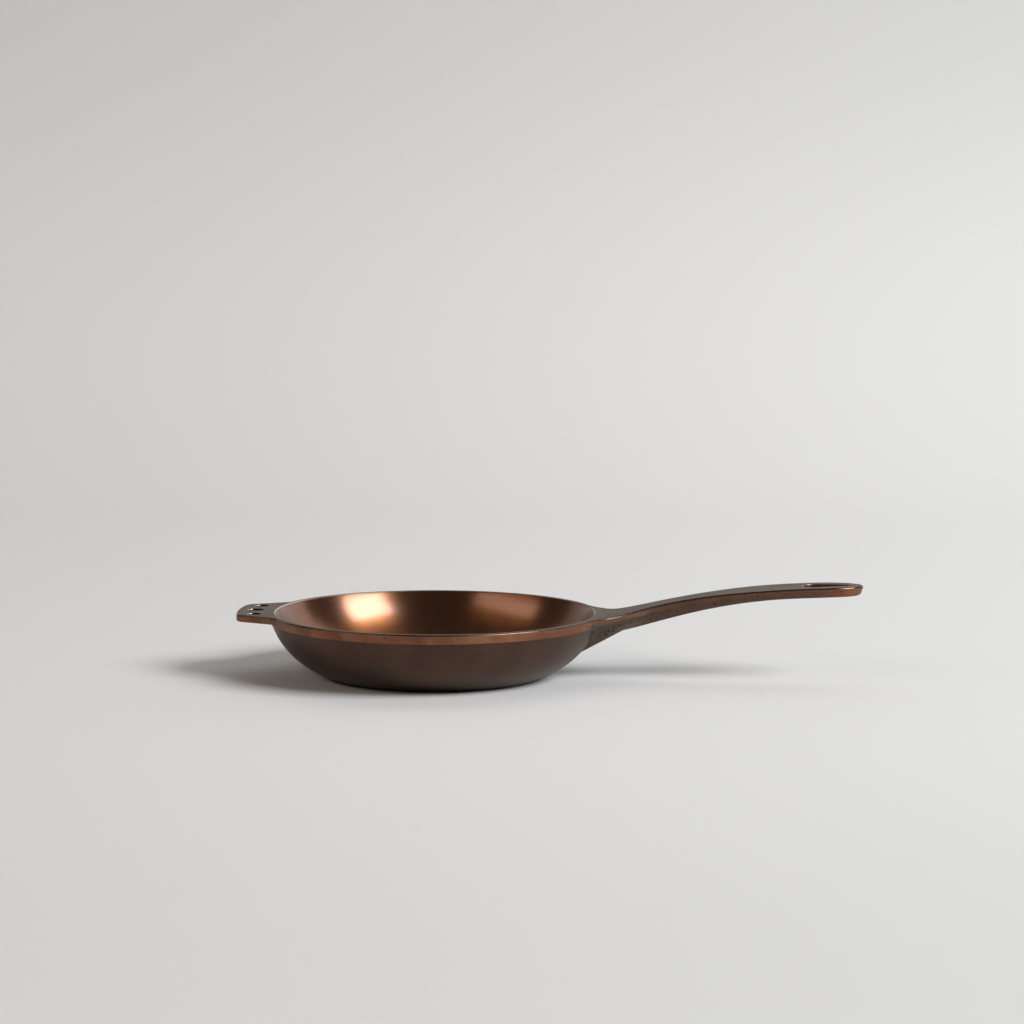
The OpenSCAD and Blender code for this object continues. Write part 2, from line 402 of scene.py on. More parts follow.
def read(items, name, kind=float):
    """An array of one whole number, or of three floats, for each item."""
    values = np.zeros(len(items) if kind is int else len(items) * 3, kind)
    items.foreach_get(name, values)
    return values if kind is int else values.reshape(-1, 3)


def shade(pieces):
    """Sets normals that run on smoothly from piece to piece, and break at sharp edges."""
    corners, owners, normals, weights = [], [], [], []
    for piece in pieces:
        mesh = piece.data
        co = read(mesh.vertices, "co")
        at = read(mesh.loops, "vertex_index", int)
        starts = read(mesh.polygons, "loop_start", int)
        counts = read(mesh.polygons, "loop_total", int)
        before = np.arange(len(at)) - 1
        before[starts] = starts + counts - 1
        after = np.arange(len(at)) + 1
        after[starts + counts - 1] = starts
        a = unit(co[at[before]] - co[at] + TINY)
        b = unit(co[at[after]] - co[at] + TINY)
        corners.append(co[at])
        owners.append(len(at))
        normals.append(np.repeat(read(mesh.polygons, "normal"), counts, axis=0))
        weights.append(np.arccos(np.clip((a * b).sum(1), -1, 1)))
    corners, normals, weights = np.concatenate(corners), np.concatenate(normals), np.concatenate(weights)
    _, where = np.unique(np.round(corners / (2 * WELD)).astype(np.int64), axis=0, return_inverse=True)
    order = np.argsort(where.reshape(-1), kind="stable")
    group, n, w = where.reshape(-1)[order], normals[order], weights[order, None]
    total = n * w
    for step in range(1, int(np.bincount(group).max())):
        same = group[step:] == group[:-step]
        near = same & ((n[step:] * n[:-step]).sum(1) > math.cos(CREASE))
        total[step:][near] += (n * w)[:-step][near]
        total[:-step][near] += (n * w)[step:][near]
    result = np.zeros_like(total)
    result[order] = unit(total + TINY * n)
    start = 0
    for piece, count in zip(pieces, owners):
        piece.data.polygons.foreach_set("use_smooth", [True] * len(piece.data.polygons))
        piece.data.normals_split_custom_set(result[start:start + count].tolist())
        start += count


def ring_points(section, angle):
    """A section, as radii and heights, stood up at an angle round the pan's axis."""
    return np.stack([section[:, 0] * math.cos(angle), section[:, 0] * math.sin(angle), section[:, 1]], axis=1)


def full_turn():
    return np.arange(round(math.tau / RING_STEP)) * RING_STEP


def revolve(shell, parts):
    """Turns a closed section, given as stretches with their looks, round the pan's axis."""
    for section, look in parts:
        shell.grid([ring_points(section, a) for a in full_turn()], look, closed=True)


# Bowl

def straight(start, end, steps=1):
    s = np.linspace(0, 1, steps + 1)[:, None]
    return np.asarray(start) * (1 - s) + np.asarray(end) * s


def cooking_floor():
    shell = Shell()
    revolve(shell, [(straight((CENTRE_R, FLOOR_TOP), (FLOOR_R, FLOOR_TOP), FLOOR_STEPS), 0),
                    (straight((FLOOR_R, FLOOR_TOP), (FLOOR_R, 0)), 1),
                    (straight((FLOOR_R, 0), (CENTRE_R, 0), FLOOR_STEPS), 1)])
    for z, look in ((FLOOR_TOP, 0), (0, 1)):
        shell.polygon([(CENTRE_R * math.cos(a), CENTRE_R * math.sin(a), z) for a in full_turn()], look)
    return shell.build("floor_turned", [turned_bronze, cast_skin])


def floor_corner():
    inner = wall_between(INNER_WALL, FLOOR_TOP, CORNER_TOP)
    outer = wall_between(OUTER_WALL, 0, CORNER_TOP)
    shell = Shell()
    revolve(shell, [(inner, 0), (straight(inner[-1], outer[-1]), 1), (outer[::-1], 1),
                    (straight(outer[0], (FLOOR_R, 0), RESTING_STEPS), 1),
                    (straight((FLOOR_R, 0), inner[0]), 1)])
    return shell.build("corner_cast", [turned_bronze, cast_skin])


def side_wall():
    inner = wall_between(INNER_WALL, CORNER_TOP, BAND_LOW)
    outer = wall_between(OUTER_WALL, CORNER_TOP, BAND_LOW)
    shell = Shell()
    revolve(shell, [(inner, 0), (straight(inner[-1], outer[-1]), 1), (outer[::-1], 1),
                    (straight(outer[0], inner[0]), 1)])
    return shell.build("wall_cast", [turned_bronze, cast_skin])


# Rim: its outer edge is rounded, but it is rabbeted where the tab and the neck leave it

TAB_RABBET_H = PAN_TOP - TAB_LOW


def rim_section(rabbet_h=0):
    """The rim's section in stretches with their looks, its outer edge cut rabbet_h deep."""
    inner = wall_between(INNER_WALL, BAND_LOW, PAN_TOP, BAND_STEPS)[:-1]
    lip = arc((PAN_R - RIM_W + INNER_EDGE_R, PAN_TOP - INNER_EDGE_R), INNER_EDGE_R,
              math.pi + WALL_LEAN, math.pi / 2, EDGE_STEPS)
    edge = arc((PAN_R - EDGE_R, PAN_TOP - EDGE_R), EDGE_R, math.pi / 2, 0, EDGE_STEPS)
    levels = [(PAN_R, PAN_TOP - h) for h in sorted((FLARE_EDGE_H, TAB_RABBET_H))]
    side = np.concatenate([edge, levels])
    if rabbet_h:
        cut = side[:, 1] > PAN_TOP - rabbet_h + WELD
        side[cut] = straight((PAN_R - EDGE_R, PAN_TOP), (PAN_R - EDGE_R, PAN_TOP - rabbet_h), cut.sum() - 1)
    foot = arc((PAN_R - BAND_EDGE_R, BAND_LOW + BAND_EDGE_R), BAND_EDGE_R, 0, -math.pi / 2, BAND_EDGE_STEPS)
    low = [(WALL_TOP_R, BAND_LOW), inner[0]]
    top = np.stack([lip[-1], side[0]])
    inner = np.concatenate([inner[inner[:, 1] < lip[0, 1]], lip[:1]])
    return [(inner, 0), (lip, 2), (top, 1), (side, 1), (np.concatenate([side[-1:], foot, low]), 1)]


def rim_band():
    tab_angle = tab_outline()[1]
    stops = [(-FLARE_ANGLE, FLARE_ANGLE, FLARE_EDGE_H), (FLARE_ANGLE, math.pi - tab_angle, 0),
             (math.pi - tab_angle, math.pi + tab_angle, TAB_RABBET_H),
             (math.pi + tab_angle, math.tau - FLARE_ANGLE, 0)]
    columns = []
    for start, end, rabbet_h in stops:
        for a in np.linspace(start, end, round((end - start) / RING_STEP) + 1):
            columns.append([ring_points(section, a) for section, _ in rim_section(rabbet_h)])
    shell = Shell()
    for part, (_, look) in enumerate(rim_section()):
        shell.grid([column[part] for column in columns], look, closed=True)
    return shell.build("rim_ground", [turned_bronze, ground_band, rubbed_edge_and_glint])


# Helper tab

def tab_outline():
    """Half of the tab's outline, drawn on +X, the angle where it leaves the rim, and its normals."""
    taper = math.atan((TAB_ROOT_W - TAB_TIP_W) / 2 / (TAB_R - PAN_R))
    n = np.array([math.sin(taper), math.cos(taper)])
    along = np.array([n[1], -n[0]])
    distance = n @ np.array([TAB_R, TAB_TIP_W / 2])

    def centre(off_side, from_axis):
        e = distance + off_side
        return n * e + along * math.sqrt(from_axis ** 2 - e ** 2)

    blend, corner = centre(TAB_BLEND_R, PAN_R + TAB_BLEND_R), centre(-TAB_CORNER_R, TAB_R - TAB_CORNER_R)
    side_a = math.atan2(n[1], n[0])
    blend_a, corner_a = math.atan2(blend[1], blend[0]), math.atan2(corner[1], corner[0])
    turns = [(blend_a + math.pi, side_a + math.pi, TAB_ARC_STEPS), (side_a, corner_a, TAB_ARC_STEPS),
             (corner_a, 0, TAB_ARC_STEPS)]
    points = [arc(blend, TAB_BLEND_R, *turns[0]), arc(corner, TAB_CORNER_R, *turns[1]),
              arc((0, 0), TAB_R, *turns[2])[1:]]
    normals = [-arc((0, 0), 1, *turns[0]), arc((0, 0), 1, *turns[1]), arc((0, 0), 1, *turns[2])[1:]]
    return np.concatenate(points), blend_a, np.concatenate(normals)


def hole_edge_steps():
    """Steps round a hole's upper edge: how far each lies outside the hole, and below the face."""
    return [(HOLE_EDGE_R * (1 - math.sin(a)), HOLE_EDGE_R * (1 - math.cos(a)))
            for a in quarter(HOLE_EDGE_STEPS)]


def hole_loops(centre, r, top, low):
    """Loops down a round hole with rounded edges, from its top face to its bottom face."""
    a = np.linspace(0, math.tau, HOLE_STEPS, endpoint=False)
    circle = np.stack([np.cos(a), np.sin(a)], axis=1)
    steps = [(out, top - below) for out, below in hole_edge_steps()]
    steps += [(out, low + top - z) for out, z in reversed(steps)]
    return [np.column_stack([centre + (r + out) * circle, 0 * a + z]) for out, z in steps]


def closed_rows(loops):
    """Loops closed by repeating their first point."""
    return [np.concatenate([loop, loop[:1]]) for loop in loops]


def helper_tab():
    half, angle, half_n = tab_outline()
    outline = np.concatenate([half, (half * [1, -1])[-2::-1]])
    normal = np.concatenate([half_n, (half_n * [1, -1])[-2::-1]])
    proud = np.linalg.norm(outline, axis=1) - PAN_R
    lower_r = TAB_LOWER_R * smooth(proud / (2 * TAB_LOWER_R))[:, None]
    rows = []
    for a in quarter(EDGE_STEPS):
        inset, below = EDGE_R * (1 - math.sin(a)), EDGE_R * (1 - math.cos(a))
        rows.append(np.column_stack([outline - normal * inset, 0 * proud + TAB_TOP - below]))
    for a in quarter(EDGE_STEPS):
        inset, above = lower_r * (1 - math.cos(a)), lower_r * (1 - math.sin(a))
        rows.append(np.column_stack([outline - normal * inset, TAB_LOW + above]))
    shell = Shell()
    shell.grid(rows)
    inner = arc((0, 0), PAN_R - EDGE_R, -angle, angle, round(2 * angle / RING_STEP))
    wall = [np.column_stack([inner, 0 * inner[:, 0] + z]) for z in np.linspace(TAB_TOP, TAB_LOW, len(rows))]
    shell.grid(wall)
    for k in (0, -1):
        shell.grid([[row[k] for row in rows], [w[-1 if k == 0 else 0] for w in wall]])
    turn = 2 * math.asin(TAB_HOLE_PITCH / 2 / TAB_HOLE_R)
    holes = [hole_loops(TAB_HOLE_R * np.array([math.cos(k * turn), math.sin(k * turn)]),
                        TAB_SIDE_HOLE_R if k else TAB_MID_HOLE_R, TAB_TOP, TAB_LOW) for k in (-1, 0, 1)]
    for loops in holes:
        shell.grid(closed_rows(loops[:HOLE_EDGE_STEPS + 1]), 2)
        shell.grid(closed_rows(loops[HOLE_EDGE_STEPS:HOLE_EDGE_STEPS + 2]), 1)
        shell.grid(closed_rows(loops[HOLE_EDGE_STEPS + 1:]), 2)
    shell.plate([np.concatenate([rows[0], wall[0][1:-1]])] + [loops[0] for loops in holes])
    shell.plate([np.concatenate([rows[-1], wall[-1]])] + [loops[-1] for loops in holes])
    shell.points = [p * np.array([-1, 1, 1]) for p in shell.points]
    return shell.build("tab_cast", [handle_skin, hole_wall, rubbed_edge_and_glint])


# Handle's root: the neck and the gusset, with a fillet where they leave the bowl

def crossing(row):
    """Where a row of the neck's side comes out of the bowl."""
    inside, outside = PAN_R * math.cos(FLARE_ANGLE) - WALL_T * 4, GRIP_X
    for _ in range(HALVINGS):
        middle = (inside + outside) / 2
        p = row_points(row, middle)
        if math.hypot(p[0], p[1]) > bowl_r(p[2]):
            outside = middle
        else:
            inside = middle
    return outside


def overhang(angle):
    """How far the flare's outline stands out of the rim at an angle round the axis."""
    radius = np.hypot(_flare[:, 0], _flare[:, 1])
    azimuth = np.arctan2(_flare[:, 1], _flare[:, 0])
    return max(0, np.interp(angle, azimuth[::-1], radius[::-1]) - PAN_R)


def root_row(index):
    """A row of the root's side below its plain edge: the fillet, then on to the toe and to the grip."""
    row = LOWER_ROWS[index]
    x = crossing(row)
    p = row_points(row, x)
    ahead = row_points(row, x + NUDGE)
    along = unit(ahead - p)
    before = LOWER_ROWS[index - 1] if index else PLAIN_ROWS[-1]
    across = unit(ahead - row_points(before, x + NUDGE))
    out = unit(np.cross(across, along))
    if out @ np.array([0, 1, -1]) < 0:
        out = -out
    bowl = bowl_normal(p)
    away = out - (out @ bowl) * bowl
    r = min(ROOT_FILLET, OVERHANG_SHARE * overhang(math.atan2(p[1], p[0])))
    r *= smooth(np.linalg.norm(away) / WHOLE_FILLET_SINE)
    if row[0] in ("keel", "flat"):
        r = min(r, FOOT_FILLET)
    away = unit(away)
    foot = p + away * r
    foot[:2] = unit(foot[:2]) * (bowl_r(foot[2]) - SINK)
    foot[1] = max(0, foot[1])
    leave_x = x + r / np.linalg.norm((ahead - p) / NUDGE)
    leave = row_points(row, leave_x)
    pull = PULL_SHARE * r
    fillet = bezier([foot, foot - away * pull, leave - along * pull, leave],
                    np.linspace(0, 1, FILLET_STEPS + 1))
    fillet[:, 1] = np.maximum(0, fillet[:, 1])
    if row == LOWER_ROWS[-1]:
        fillet[:, 1] = 0
    on = np.concatenate([np.linspace(leave_x, TOE_X, TOE_STEPS + 1)[1:],
                         np.linspace(TOE_X, GRIP_X, NECK_STEPS + 1)[1:]])
    return np.concatenate([fillet, row_points(row, on)])


def plain_columns():
    """Places along X of the columns that the neck's top face and plain edge have."""
    return np.concatenate([np.linspace(FLARE_START[0], TOE_X, TOE_STEPS + 1),
                           np.linspace(TOE_X, GRIP_X, NECK_STEPS + 1)[1:]])


def root_edge_rows():
    """Rows of the rounded and the plain edge, inset square to the flare's outline."""
    x = plain_columns()
    outline = np.stack([x, half_w(x)], axis=1)
    slope = (half_w(x + NUDGE) - half_w(x)) / NUDGE
    square = unit(np.stack([-slope, 0 * x + 1], axis=1))
    square[0] = unit(FLARE_START)
    ease = smooth((x - TOE_X) / (GRIP_X - TOE_X))[:, None]
    normal = unit(square * (1 - ease) + np.array([0, 1]) * ease)
    rows = []
    for row in EDGE_ROWS + PLAIN_ROWS:
        inset, below = profile(row, x)
        flat = outline - normal * inset[:, None]
        rows.append(np.column_stack([flat, top_z(flat[:, 0]) - below]))
    return rows


def bowed(left, bulge):
    """A row of points from left to its mirror image, bowed toward +X by bulge at the middle."""
    t = np.linspace(1, -1, ACROSS_STEPS + 1)
    angle = FLARE_ANGLE * t
    bow = (np.cos(angle) - math.cos(FLARE_ANGLE)) / (1 - math.cos(FLARE_ANGLE))
    x = left[0] + bulge * bow
    return np.stack([x, left[1] * np.sin(angle) / math.sin(FLARE_ANGLE), 0 * x + left[2]], axis=1)


def bowl_arc(left):
    """A row of points from left to its mirror image, round the pan's axis."""
    angle = math.atan2(left[1], left[0]) * np.linspace(1, -1, ACROSS_STEPS + 1)
    r = math.hypot(left[0], left[1])
    return np.stack([r * np.cos(angle), r * np.sin(angle), 0 * angle + left[2]], axis=1)


def handle_root():
    """The neck and the gusset, made as one shell and split at the level of the gusset's toe."""
    edge = root_edge_rows()
    first = edge[-1][:1].repeat(FILLET_STEPS, axis=0)
    lower = [np.concatenate([first, edge[-1]])] + [root_row(i) for i in range(len(LOWER_ROWS))]
    shell = Shell()
    top = edge[0]
    bulge = (PAN_R - EDGE_R) * (1 - math.cos(FLARE_ANGLE)) * (GRIP_X - top[:, 0]) / (GRIP_X - top[0, 0])
    face = np.array([bowed(p, b) for p, b in zip(top, bulge)])
    face[..., 2] = top_z(face[..., 0])
    shell.grid(face)
    for side in (np.asarray, mirrored):
        shell.grid([side(row) for row in edge])
        shell.grid([side(row) for row in lower])
    # Inside the casting: the rabbet in the rim, and the bowl's skin
    rabbet = [bowl_arc(np.array([*face[0, 0, :2], z]))
              for z in np.linspace(PAN_TOP, PAN_TOP - FLARE_EDGE_H, len(edge))]
    shell.grid(rabbet)
    for side, k in ((np.asarray, 0), (mirrored, -1)):
        shell.grid([side(np.array([row[0] for row in edge])), np.array([row[k] for row in rabbet])])
    shell.grid([rabbet[-1]] + [bowl_arc(row[0]) for row in lower])
    end = np.array([row[-1] for row in edge[:-1]] + [row[-1] for row in lower])
    shell.polygon(np.concatenate([end, mirrored(end)[-2::-1], face[-1][-2:0:-1]]))
    neck = shell.build("neck_cast", [handle_skin])
    level = float(top_z(TOE_X)) - ROOT_T
    gusset = keep_side(neck, level, -1, "gusset_cast")
    keep_side(neck, level, 1)
    return neck, gusset


def keep_side(obj, level, side, name=None):
    """Cuts a shell at a level, closes the cut, and keeps what is above (side 1) or below it."""
    bm = bmesh.new()
    bm.from_mesh(obj.data)
    bmesh.ops.bisect_plane(bm, geom=bm.verts[:] + bm.edges[:] + bm.faces[:], dist=WELD / 10,
                           plane_co=(0, 0, level), plane_no=(0, 0, 1),
                           clear_outer=side < 0, clear_inner=side > 0)
    bmesh.ops.delete(bm, geom=[f for f in bm.faces if all(abs(v.co.z - level) < WELD for v in f.verts)],
                     context="FACES")
    bmesh.ops.contextual_create(bm, geom=[e for e in bm.edges if len(e.link_faces) < 2])
    if name:
        mesh = bpy.data.meshes.new(name)
        for material in obj.data.materials:
            mesh.materials.append(material)
        obj = put(name, mesh)
    bm.to_mesh(obj.data)
    bm.free()
    tidy(obj.data)
    return obj


# Grip and hanging eye

def section_ring(x):
    """A closed ring at x: down the side on +Y, up the other side, and back across the top face."""
    side = np.array([row_points(row, x) for row in ROWS])
    return np.concatenate([side, mirrored(side)[-2::-1], bowed(side[0], 0)[-2::-1]])


def handle_grip():
    rings = [section_ring(x) for x in np.linspace(GRIP_X, EYE_X, GRIP_STEPS + 1)]
    shell = Shell()
    shell.grid(rings)
    for ring in (rings[0], rings[-1]):
        shell.polygon(ring[:-1])
    return shell.build("grip_cast", [handle_skin])


def eye_rows():
    """Rows of the far end's side on +Y: straight on from the grip, then round the half ellipse to the tip."""
    x = np.linspace(EYE_X, ELLIPSE_X, EYE_STEPS + 1)[:-1]
    angle = quarter(TIP_STEPS)
    rows = []
    for row in ROWS:
        if row[0] == "flat":
            break
        along = ELLIPSE_X + TIP_LEN * np.sin(angle)
        inset, below = profile(row, along)
        tip = np.stack([ELLIPSE_X + (TIP_LEN - inset) * np.sin(angle), (END_HALF_W - inset) * np.cos(angle),
                        top_z(along) - below], axis=1)
        tip[-1, 1] = 0
        rows.append(np.concatenate([row_points(row, x), tip]))
    return rows


def teardrop_reach(angle, grow):
    """Distance from the middle of the hole's round end to the teardrop's edge, in a direction."""
    big, small = HOLE_R + grow, HOLE_END_R + grow
    far = HOLE_LEN - HOLE_R - HOLE_END_R
    touch = math.acos((big - small) / far)
    a = np.abs(angle)
    flat = big / np.cos(a - touch)
    sine = np.clip(far * np.sin(a) / small, -1, 1)
    nose = far * np.cos(a) + small * np.sqrt(1 - sine ** 2)
    nose_a = math.atan2(small * math.sin(touch), far + small * math.cos(touch))
    return np.where(a > touch, big, np.where(a < nose_a, nose, flat))


def hanging_eye():
    rows = eye_rows()
    shell = Shell()
    for side in (np.asarray, mirrored):
        shell.grid([side(row) for row in rows])
    loops = []
    for outer in (rows[0], rows[-1]):
        across = bowed(outer[0], 0)[-2:0:-1]
        loops.append(np.concatenate([outer, mirrored(outer)[-2::-1], across]))
    hole = []
    for outer, sign in zip(loops, (-1, 1)):
        angle = np.arctan2(outer[:, 1], outer[:, 0] - HOLE_X)
        face_z = top_z if sign < 0 else (lambda x: top_z(x) - depth(x))
        rings = []
        for grow, step in hole_edge_steps():
            reach = teardrop_reach(angle, grow)
            xy = np.stack([HOLE_X + reach * np.cos(angle), reach * np.sin(angle)], axis=1)
            rings.append(np.column_stack([xy, face_z(xy[:, 0]) + sign * step]))
        sheet = []
        for share in np.linspace(0, 1, SPREAD_STEPS + 1):
            xy = outer[:, :2] * (1 - share) + rings[0][:, :2] * share
            sheet.append(np.column_stack([xy, face_z(xy[:, 0])]))
        sheet[0] = outer
        shell.grid(closed_rows(sheet))
        shell.grid(closed_rows(rings), 2)
        hole.append(rings[-1])
    shell.grid(closed_rows(hole), 1)
    cap = np.array([row[0] for row in rows])
    shell.polygon(np.concatenate([cap, bowed(cap[-1], 0)[1:-1], mirrored(cap)[::-1],
                                  bowed(cap[0], 0)[-2:0:-1]]))
    return shell.build("eye_cast", [handle_skin, hole_wall, rubbed_edge_and_glint])


# Materials

def linear(r, g, b):
    """A colour given as 0 to 255 in sRGB, as Blender's linear values."""
    c = np.array([r, g, b]) / 255
    return (*np.where(c < 0.04045, c / 12.92, ((c + 0.055) / 1.055) ** 2.4), 1.0)


class Look:
    """A material with a Principled shader, and short ways to make the nodes that drive it."""

    def __init__(self, name, **even):
        self.material = bpy.data.materials.new(name)
        self.material.use_nodes = True
        self.tree = self.material.node_tree
        self.shader = self.tree.nodes["Principled BSDF"]
        self.place = self.add("TexCoord").outputs["Object"]
        for socket, value in even.items():
            self.shader.inputs[socket.replace("_", " ")].default_value = value

    def add(self, kind, settings=None, inputs=None):
        node = self.tree.nodes.new("ShaderNode" + kind)
        for key, value in (settings or {}).items():
            setattr(node, key, value)
        for key, value in (inputs or {}).items():
            if isinstance(value, bpy.types.NodeSocket):
                self.tree.links.new(value, node.inputs[key])
            else:
                node.inputs[key].default_value = value
        return node

    def operate(self, operation, a, b):
        return self.add("Math", {"operation": operation}, {0: a, 1: b}).outputs[0]

    def plus(self, a, b):
        return self.operate("ADD", a, b)

    def minus(self, a, b):
        return self.operate("SUBTRACT", a, b)

    def times(self, value, *factors):
        for factor in factors:
            value = self.operate("MULTIPLY", value, factor)
        return value

    def larger(self, a, b):
        return self.operate("MAXIMUM", a, b)

    def range(self, value, low, high, to_low=0.0, to_high=1.0):
        """Goes smoothly from to_low to to_high while the value goes from low to high."""
        return self.add("MapRange", {"interpolation_type": "SMOOTHSTEP"},
                        {"Value": value, "From Min": low, "From Max": high,
                         "To Min": to_low, "To Max": to_high}).outputs["Result"]

    def blend(self, share, a, b):
        return self.add("Mix", {"data_type": "RGBA"}, {0: share, 6: a, 7: b}).outputs[2]

    def mottled(self, noise, dark, light):
        return self.blend(self.range(noise, 0.3, 0.7), dark, light)

    def noise(self, size, detail, roughness=0.55):
        """Noise whose patches are about size metres across."""
        return self.add("TexNoise", None, {"Vector": self.place, "Scale": 1 / size, "Detail": detail,
                                           "Roughness": roughness}).outputs["Fac"]

    def rings(self, along, size, detail, roughness=0.5):
        """Noise that changes only along one measure, in rings about size metres wide."""
        inputs = {"W": along, "Scale": 1 / size, "Detail": detail, "Roughness": roughness}
        return self.add("TexNoise", {"noise_dimensions": "1D"}, inputs).outputs["Fac"]

    def axis(self, name, vector=None):
        return self.add("SeparateXYZ", None, {0: vector or self.place}).outputs[name]

    def attribute(self, name):
        return self.add("Attribute", {"attribute_name": name}).outputs["Fac"]

    def facing(self, name):
        """How far the surface faces along an axis, from -1 to 1."""
        return self.axis(name, self.add("NewGeometry").outputs["Normal"])

    def bump(self, height, distance, strength):
        inputs = {"Height": height, "Distance": distance, "Strength": strength}
        return self.add("Bump", None, inputs).outputs["Normal"]

    def set(self, socket, value):
        self.tree.links.new(value, self.shader.inputs[socket])


def pits(look, size, share):
    """1 in small pits, 0 elsewhere. A share of the cells of about size metres has one."""
    cell = look.add("TexVoronoi", {"feature": "F1"},
                    {"Vector": look.place, "Scale": 1 / size, "Randomness": 1.0})
    chosen = look.operate("LESS_THAN", look.axis("X", cell.outputs["Color"]), share)
    return look.times(chosen, look.range(cell.outputs["Distance"], *PIT_RIM, 1.0, 0.0))


def make_turned_bronze():
    """The lathe-turned inside: satin bronze with fine rings round the pan's axis."""
    look = Look("turned_bronze", Metallic=1.0, Anisotropic=0.75, Anisotropic_Rotation=0.25, Coat_Weight=0.75,
                Coat_IOR=1.6, Coat_Roughness=0.2)
    look.set("Tangent", look.add("Tangent", {"direction_type": "RADIAL", "axis": "Z"}).outputs["Tangent"])
    flat = look.add("VectorMath", {"operation": "MULTIPLY"}, {0: look.place, 1: (1, 1, 0)}).outputs[0]
    radius = look.add("VectorMath", {"operation": "LENGTH"}, {0: flat}).outputs["Value"]
    along = look.plus(radius, look.axis("Z"))
    fine = look.rings(along, 0.4 * MM, 3.0, 0.6)
    broad = look.rings(along, 4 * MM, 2.0)
    mottle = look.noise(18 * MM, 3.0)
    tone = look.blend(look.range(mottle, 0.25, 0.75), TURNED_DARK, TURNED_LIGHT)
    tone = look.blend(look.range(broad, 0.35, 0.65, 0.0, 0.25), tone, TURNED_RING)
    look.set("Base Color", tone)
    look.set("Roughness", look.plus(look.range(fine, 0.2, 0.8, 0.27, 0.34),
                                    look.range(mottle, 0.3, 0.7, -0.01, 0.01)))
    look.set("Normal", look.bump(fine, 0.005 * MM, 0.6))
    return look.material


def make_cast_skin():
    """The bowl's outside: dark brown seasoned iron with the fine grain of a sand mould."""
    look = Look("cast_skin", Metallic=0.6, Specular_IOR_Level=0.5)
    grain = look.noise(0.9 * MM, 4.0, 0.6)
    coarse = look.noise(3.5 * MM, 3.0)
    cloud = look.noise(30 * MM, 3.0)
    tone = look.mottled(cloud, CAST_DARK, CAST_LIGHT)
    tone = look.blend(look.range(grain, 0.42, 0.7, 0.0, 0.5), tone, CAST_GRAIN)
    pit = pits(look, 3.2 * MM, 0.08)
    tone = look.blend(look.times(pit, 0.25), tone, PIT)
    look.set("Base Color", tone)
    look.set("Roughness", look.range(grain, 0.3, 0.7, 0.36, 0.48))
    height = look.plus(look.times(grain, 0.6), coarse)
    height = look.minus(height, look.times(pit, 0.8))
    look.set("Normal", look.bump(height, 0.04 * MM, 0.8))
    return look.material


